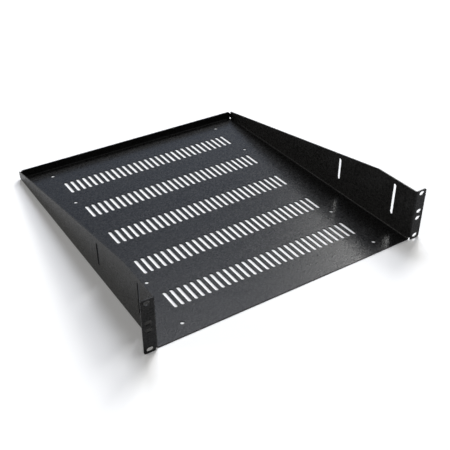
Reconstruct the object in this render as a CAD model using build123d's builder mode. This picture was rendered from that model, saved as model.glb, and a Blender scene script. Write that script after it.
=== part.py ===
from build123d import *
import os

# Vented rack shelf: one sheet of steel, punched flat and folded into a pan with two side walls,
# two ears and a low rear lip.
# Millimetres. The origin is the centre of the ears' slot pattern, on the ears' back faces,
# which seat on the rack's front rails. +X is to the right, +Y goes back into the rack, +Z is up.

# The sheet
sheet = 1.6
bend_radius = 1.5  # inside radius of every bend

# The folded shape
panel_width = 482.6  # over both ears
panel_height = 87.8  # ears and the walls' level front part
body_width = 444.5  # over both side walls
overall_depth = 508.0  # from the ears' front faces to the lip's rear face
pan_setback = 1.9  # the pan's front edge stands this far behind the ears' front faces
knee_depth = 81.5  # the walls' tops are level this far back from the ears' front faces
rear_height = 15.9  # lip, and the low ends of the walls
ear_corner_radius = 3.0
wall_end_radius = 1.5  # rounding of the walls' low rear corners
lip_gap = 0.4  # between the walls' rear ends and the lip
lip_end_inset = 0.8  # the lip's ends lie this far inside the walls' outside faces
lip_corner = 5.2  # the lip's upper corners are cut off at 45 degrees by this much

# Reliefs that let the bends fold past each other
front_relief_height = 4.0  # the ears' bends end this far above the pan's underside
front_relief_depth = 3.0  # the slit over the pan's bend ends this far behind the ears' back faces
front_relief_gap = 0.5  # from the ear's bend to the ear's free lower edge
rear_relief_radius = 1.2

# Slots in the ears, at the rack's standard heights
ear_slot_inset = 8.75  # from the ears' outer edges to the slots' centres
outer_slot_height = 76.2
inner_slot_height = 12.7
ear_slot_length = 9.7
ear_slot_width = 6.8

# Vent slots in the pan
vent_length = 37.9
vent_width = 5.8
vent_pitch = 11.1125
row_pitch = 88.9
row_inset = 76.2  # from each end of the depth to the nearest row's centre
vent_to_hole = 9.7  # from the line of round holes to the nearest column of vents

# Round holes in the pan
hole_diameter = 6.35
hole_side_inset = 51.4  # from the walls' outside faces
outer_hole_inset = 25.4  # from each end of the depth
inner_hole_inset = 127.0

# Tall slots in the side walls
wall_slot_width = 5.8
wall_slot_depths = [44.45, 171.45]  # from the ears' front faces
wall_slot_base = 25.4  # from the pan's underside to a slot's lower end
wall_slot_margin = 8.2  # from a slot's upper end to the wall's top edge, straight up

# The round ends of the vents and of the tall slots are drawn with this many flats each,
# which keeps the mesh light: there are over 300 of them.
end_flats = 5

# Places worked out from the sizes
outside_radius = bend_radius + sheet
underside = -panel_height / 2
top_edge = underside + panel_height
bend_top = underside + outside_radius  # the walls and the lip are flat from here up
relief_top = underside + front_relief_height
low_top = underside + rear_height
ears_front = -sheet
rear_face = ears_front + overall_depth
pan_front = ears_front + pan_setback
lip_bend_start = rear_face - outside_radius
wall_rear = rear_face - sheet - lip_gap
knee_y = ears_front + knee_depth
middle_y = ears_front + overall_depth / 2
wall_x = body_width / 2
pan_flat_x = wall_x - outside_radius
lip_end_x = wall_x - lip_end_inset
ear_edge_x = wall_x + bend_radius + front_relief_gap
fall = (top_edge - low_top) / (wall_rear - knee_y)


def wall_height(y):
    """Height of a wall's top edge above the pan's underside, this far back."""
    return panel_height - fall * max(0.0, y - knee_y)


def punched_slot(length, width, mode=Mode.ADD):
    """An upright slot with rounded ends, in the sketch that is being drawn."""
    end = [
        Vector(width / 2).rotate(Axis.Z, 180 * flat / end_flats)
        for flat in range(end_flats + 1)
    ]
    centre = length / 2 - max(corner.Y for corner in end)
    upper = [(corner.X, centre + corner.Y) for corner in end]
    lower = [(-x, -y) for x, y in upper]
    Polygon(*upper, *lower, align=None, mode=mode)


with BuildPart() as vented_shelf:
    # The ears, each with the bend that joins it to its wall
    with BuildSketch(Plane.XY.offset(underside)):
        with BuildLine():
            ear_bend = CenterArc((wall_x + bend_radius, bend_radius), bend_radius, 180, 90)
            Line(ear_bend @ 1, (panel_width / 2, 0))
            offset(amount=sheet, side=Side.RIGHT)
        make_face()
        mirror(about=Plane.YZ)
    extrude(amount=panel_height)
    across = vented_shelf.edges().filter_by(Axis.Y).group_by(Axis.X)
    fillet(across[0] + across[-1], radius=ear_corner_radius)

    # Front relief: the ear's bend ends above the pan's, and the ear's foot hangs free
    with BuildSketch(Plane.XY.offset(underside)):
        with Locations((wall_x - sheet, ears_front)):
            Rectangle(
                ear_edge_x - wall_x + sheet, bend_radius - ears_front, align=(Align.MIN, Align.MIN)
            )
        mirror(about=Plane.YZ)
    extrude(amount=front_relief_height, mode=Mode.SUBTRACT)

    # The pan, with the bends along its sides
    with BuildSketch(Plane.XZ.offset(-pan_front)):
        with BuildLine():
            left_bend = CenterArc((-pan_flat_x, bend_top), outside_radius, 180, 90)
            right_bend = CenterArc((pan_flat_x, bend_top), outside_radius, 270, 90)
            Line(left_bend @ 1, right_bend @ 0)
            offset(amount=sheet, side=Side.LEFT)
        make_face()
    extrude(amount=pan_front - lip_bend_start)

    # The walls: level as far as the knee, then sloping down to their low rear ends,
    # with a slit at the front that parts the ear's bend from the pan's
    with BuildSketch(Plane.YZ.offset(wall_x), Plane.YZ.offset(sheet - wall_x)):
        with BuildLine():
            Polyline(
                (bend_radius, relief_top),
                (bend_radius, top_edge),
                (knee_y, top_edge),
                (wall_rear, low_top),
                (wall_rear, bend_top),
                (front_relief_depth, bend_top),
                (front_relief_depth, relief_top),
                close=True,
            )
        make_face()
        for depth in wall_slot_depths:
            slot_y = ears_front + depth
            slot_length = wall_height(slot_y) - wall_slot_margin - wall_slot_base
            with Locations((slot_y, underside + wall_slot_base + slot_length / 2)):
                punched_slot(slot_length, wall_slot_width, mode=Mode.SUBTRACT)
    extrude(amount=-sheet)
    low_ends = vented_shelf.edges().filter_by(Axis.X).group_by(Axis.Y)[-1].group_by(Axis.Z)[-1]
    fillet(low_ends, radius=wall_end_radius)

    # The rear lip, bent up from the pan, with its upper corners cut off
    with BuildSketch(Plane.YZ):
        with BuildLine():
            lip_bend = CenterArc((lip_bend_start, bend_top), outside_radius, 270, 90)
            Line(lip_bend @ 1, (rear_face, low_top))
            offset(amount=sheet, side=Side.LEFT)
        make_face()
    extrude(amount=lip_end_x, both=True)
    lip_ends = vented_shelf.edges().filter_by(Axis.Y).filter_by_position(
        Axis.Y, rear_face - sheet, rear_face
    )
    chamfer(lip_ends.group_by(Axis.Z)[-1], length=lip_corner)

    # Rear relief: a round corner hole where the wall's bend and the lip's bend would meet
    with BuildSketch(Plane.XY.offset(underside)):
        with Locations((pan_flat_x, lip_bend_start)):
            Circle(rear_relief_radius)
            Rectangle(outside_radius, outside_radius, align=(Align.MIN, Align.MIN))
        mirror(about=Plane.YZ)
    extrude(amount=outside_radius, mode=Mode.SUBTRACT)

    # Slots in the ears for the rack's screws
    with BuildSketch(Plane.XZ):
        for height in (outer_slot_height, inner_slot_height):
            with GridLocations(panel_width - 2 * ear_slot_inset, height, 2, 2):
                SlotOverall(ear_slot_length, ear_slot_width)
    extrude(amount=sheet, mode=Mode.SUBTRACT)

    # Vent slots, as many columns and rows as fit between the round holes
    hole_spacing = body_width - 2 * hole_side_inset
    vent_columns = 1 + int((hole_spacing - 2 * vent_to_hole) / vent_pitch)
    row_gaps = max(1, round((overall_depth - 2 * row_inset) / row_pitch))
    row_spacing = (overall_depth - 2 * row_inset) / row_gaps
    with BuildSketch(Plane.XY.offset(underside)):
        with Locations((0, middle_y)):
            with GridLocations(vent_pitch, row_spacing, vent_columns, row_gaps + 1):
                punched_slot(vent_length, vent_width)
            for inset in (outer_hole_inset, inner_hole_inset):
                with GridLocations(hole_spacing, overall_depth - 2 * inset, 2, 2):
                    Circle(hole_diameter / 2)
    extrude(amount=sheet, mode=Mode.SUBTRACT)

vented_shelf.part.label = "vented_shelf"

os.makedirs("parts", exist_ok=True)
export_step(vented_shelf.part, "parts/vented_shelf.step")
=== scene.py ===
import math

import bpy
from mathutils import Matrix, Vector


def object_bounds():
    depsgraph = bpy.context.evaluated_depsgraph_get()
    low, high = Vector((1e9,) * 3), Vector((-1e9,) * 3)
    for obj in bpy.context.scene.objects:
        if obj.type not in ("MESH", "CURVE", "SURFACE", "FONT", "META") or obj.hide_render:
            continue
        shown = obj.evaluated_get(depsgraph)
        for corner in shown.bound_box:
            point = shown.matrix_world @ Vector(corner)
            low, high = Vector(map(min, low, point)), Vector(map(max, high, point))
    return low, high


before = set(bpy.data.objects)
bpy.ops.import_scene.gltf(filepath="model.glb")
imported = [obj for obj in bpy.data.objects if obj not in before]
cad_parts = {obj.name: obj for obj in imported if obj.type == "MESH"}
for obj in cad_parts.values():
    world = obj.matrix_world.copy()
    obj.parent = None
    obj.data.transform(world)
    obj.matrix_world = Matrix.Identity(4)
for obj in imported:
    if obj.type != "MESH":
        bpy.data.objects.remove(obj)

# Metres, in the part's own frame: +X right, +Y back into the rack, +Z up.
cad_low, cad_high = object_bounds()
UNDERSIDE = cad_low.z

# The photograph's camera, fitted to the slots, holes and edges
CAMERA_PLACE = (-0.5189, -0.62111, 0.6165)
CAMERA_FORWARD = (0.44733, 0.69314, -0.56521)
CAMERA_RIGHT = (0.84000, -0.54259, -0.00058)
LENS_MM = 58.285
SENSOR_MM = 36.0
CLIP_START = 0.01
CLIP_END = 100.0


def link(obj):
    bpy.context.scene.collection.objects.link(obj)
    return obj


def make_camera():
    data = bpy.data.cameras.new("camera")
    data.lens, data.sensor_width = LENS_MM, SENSOR_MM
    data.clip_start, data.clip_end = CLIP_START, CLIP_END
    forward = Vector(CAMERA_FORWARD).normalized()
    right = Vector(CAMERA_RIGHT)
    right = (right - forward * right.dot(forward)).normalized()
    up = right.cross(forward)
    turn = Matrix((right, up, -forward)).transposed().to_4x4()
    camera = link(bpy.data.objects.new("camera", data))
    camera.matrix_world = Matrix.Translation(Vector(CAMERA_PLACE)) @ turn
    bpy.context.scene.camera = camera


WHITE = (1.0, 1.0, 1.0, 1.0)


def new_material(name):
    material = bpy.data.materials.new(name)
    material.use_nodes = True
    nodes = material.node_tree.nodes
    return material, nodes, material.node_tree.links, nodes["Principled BSDF"]


def seen_strength(nodes, links, lit, seen):
    """The strength `seen` for camera, glossy and transmission rays, and `lit` for all others."""
    rays = nodes.new("ShaderNodeLightPath").outputs
    kind = rays["Is Camera Ray"]
    for name in ("Is Glossy Ray", "Is Transmission Ray"):
        either = nodes.new("ShaderNodeMath")
        either.operation = "MAXIMUM"
        links.new(kind, either.inputs[0])
        links.new(rays[name], either.inputs[1])
        kind = either.outputs[0]
    strength = nodes.new("ShaderNodeMapRange")
    strength.inputs["To Min"].default_value = lit
    strength.inputs["To Max"].default_value = seen
    links.new(kind, strength.inputs["Value"])
    return strength.outputs["Result"]


# Black powder coat: a fine speckle in the colour and the gloss, and a fine grain in the height.
# Each small cell is paler or darker than COAT_COLOUR by up to the share SPECKLE_SPREAD.
COAT_COLOUR = (0.0138, 0.0138, 0.0138)
SPECKLE_SPREAD = 0.65
SPECKLE_SIZE = 0.002
SPECULAR_LEVEL = 0.073
ROUGHNESS = (0.18, 0.32)
GRAIN_SIZE = 0.0022
GRAIN_DETAIL = 1.0
GRAIN_HEIGHT = 0.00022


def grain_height(nodes, links, place):
    """A value from 0 to 1 that changes smoothly over a grain's size."""
    waves = nodes.new("ShaderNodeTexNoise")
    waves.inputs["Scale"].default_value = 1 / GRAIN_SIZE
    waves.inputs["Detail"].default_value = GRAIN_DETAIL
    links.new(place.outputs["Object"], waves.inputs["Vector"])
    return waves.outputs["Fac"]


def speckle(nodes, links, place):
    """Two values from 0 to 1 that are even within each small cell."""
    cells = nodes.new("ShaderNodeTexVoronoi")
    cells.inputs["Scale"].default_value = 1 / SPECKLE_SIZE
    links.new(place.outputs["Object"], cells.inputs["Vector"])
    channels = nodes.new("ShaderNodeSeparateColor")
    links.new(cells.outputs["Color"], channels.inputs["Color"])
    return channels.outputs["Red"], channels.outputs["Green"]


def shade(colour, factor):
    return [factor * channel for channel in colour] + [1.0]


def powder_coat():
    material, nodes, links, shader = new_material("black_powder_coat")
    shader.inputs["Specular IOR Level"].default_value = SPECULAR_LEVEL
    place = nodes.new("ShaderNodeTexCoord")
    paler, rougher = speckle(nodes, links, place)

    gloss = nodes.new("ShaderNodeMapRange")
    gloss.inputs["To Min"].default_value, gloss.inputs["To Max"].default_value = ROUGHNESS
    links.new(rougher, gloss.inputs["Value"])
    links.new(gloss.outputs["Result"], shader.inputs["Roughness"])

    colour = nodes.new("ShaderNodeMix")
    colour.data_type = "RGBA"
    colour.inputs["A"].default_value = shade(COAT_COLOUR, 1 - SPECKLE_SPREAD)
    colour.inputs["B"].default_value = shade(COAT_COLOUR, 1 + SPECKLE_SPREAD)
    links.new(paler, colour.inputs["Factor"])
    links.new(colour.outputs["Result"], shader.inputs["Base Color"])

    bump = nodes.new("ShaderNodeBump")
    bump.inputs["Distance"].default_value = GRAIN_HEIGHT
    links.new(grain_height(nodes, links, place), bump.inputs["Height"])
    links.new(bump.outputs["Normal"], shader.inputs["Normal"])
    return material


# The floor is a white sheet that the shelf stands on. A faint glow, which only the camera and
# reflections see, keeps it pale where it shows through the vents.
FLOOR_COLOUR = (0.88, 0.88, 0.88, 1.0)
FLOOR_ROUGHNESS = 0.9
FLOOR_GLOW = 0.11
FLOOR_HALF = 4.0


def pale_floor():
    material, nodes, links, shader = new_material("pale_floor")
    shader.inputs["Roughness"].default_value = FLOOR_ROUGHNESS
    shader.inputs["Specular IOR Level"].default_value = 0.0
    shader.inputs["Base Color"].default_value = FLOOR_COLOUR
    shader.inputs["Emission Color"].default_value = WHITE
    links.new(seen_strength(nodes, links, 0.0, FLOOR_GLOW), shader.inputs["Emission Strength"])
    mesh = bpy.data.meshes.new("floor")
    square = ((-1, -1), (1, -1), (1, 1), (-1, 1))
    corners = [(FLOOR_HALF * x, FLOOR_HALF * y, UNDERSIDE) for x, y in square]
    mesh.from_pydata(corners, [], [(0, 1, 2, 3)])
    floor = link(bpy.data.objects.new("floor", mesh))
    mesh.materials.append(material)


# Five square softboxes, all far off, so that the floor is evenly lit
LAMP_DISTANCE = 24.0
LAMP_AIM = Vector((0.0, 0.25, 0.0))
# Each one's name, azimuth and elevation in degrees, side in metres, and radiance in red, green
# and blue. Azimuth 0 is behind the shelf on +Y, and 90 is on its right on +X.
LAMPS = (
    ("rear_right", 54, 38.5, 6.8, (22.6, 22.6, 22.2)),
    ("high_rear", 35, 53, 8.0, (15.6, 15.9, 16.8)),
    ("low_rear_left", -60, 15, 10.8, (6.6, 6.4, 6.0)),
    ("right", 100, 50, 10.8, (2.6, 2.6, 2.6)),
    ("rear", 25, 32, 10.8, (0.0, 0.2, 0.6)),
)
# The world's strength as light, and as the camera and reflections see it
WORLD_LIGHT = 0.13
WORLD_SEEN = 1.0


def softbox(name, azimuth, elevation, size, radiance):
    turn, rise = math.radians(azimuth), math.radians(elevation)
    outward = math.cos(rise)
    away = Vector((math.sin(turn) * outward, math.cos(turn) * outward, math.sin(rise)))
    brightest = max(radiance)
    data = bpy.data.lights.new(name, "AREA")
    data.shape, data.size = "SQUARE", size
    data.energy = brightest * math.pi * size * size
    data.color = [channel / brightest for channel in radiance]
    lamp = link(bpy.data.objects.new(name, data))
    lamp.location = LAMP_AIM + away * LAMP_DISTANCE
    lamp.rotation_euler = away.to_track_quat("Z", "Y").to_euler()
    lamp.visible_camera = False


def studio():
    world = bpy.data.worlds.new("studio")
    bpy.context.scene.world = world
    world.use_nodes = True
    nodes, links = world.node_tree.nodes, world.node_tree.links
    background = nodes["Background"]
    background.inputs["Color"].default_value = WHITE
    links.new(seen_strength(nodes, links, WORLD_LIGHT, WORLD_SEEN), background.inputs["Strength"])
    for lamp in LAMPS:
        softbox(*lamp)


make_camera()
coat = powder_coat()
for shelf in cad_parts.values():
    shelf.data.materials.clear()
    shelf.data.materials.append(coat)
pale_floor()
studio()
bpy.context.scene.view_settings.view_transform = "Standard"
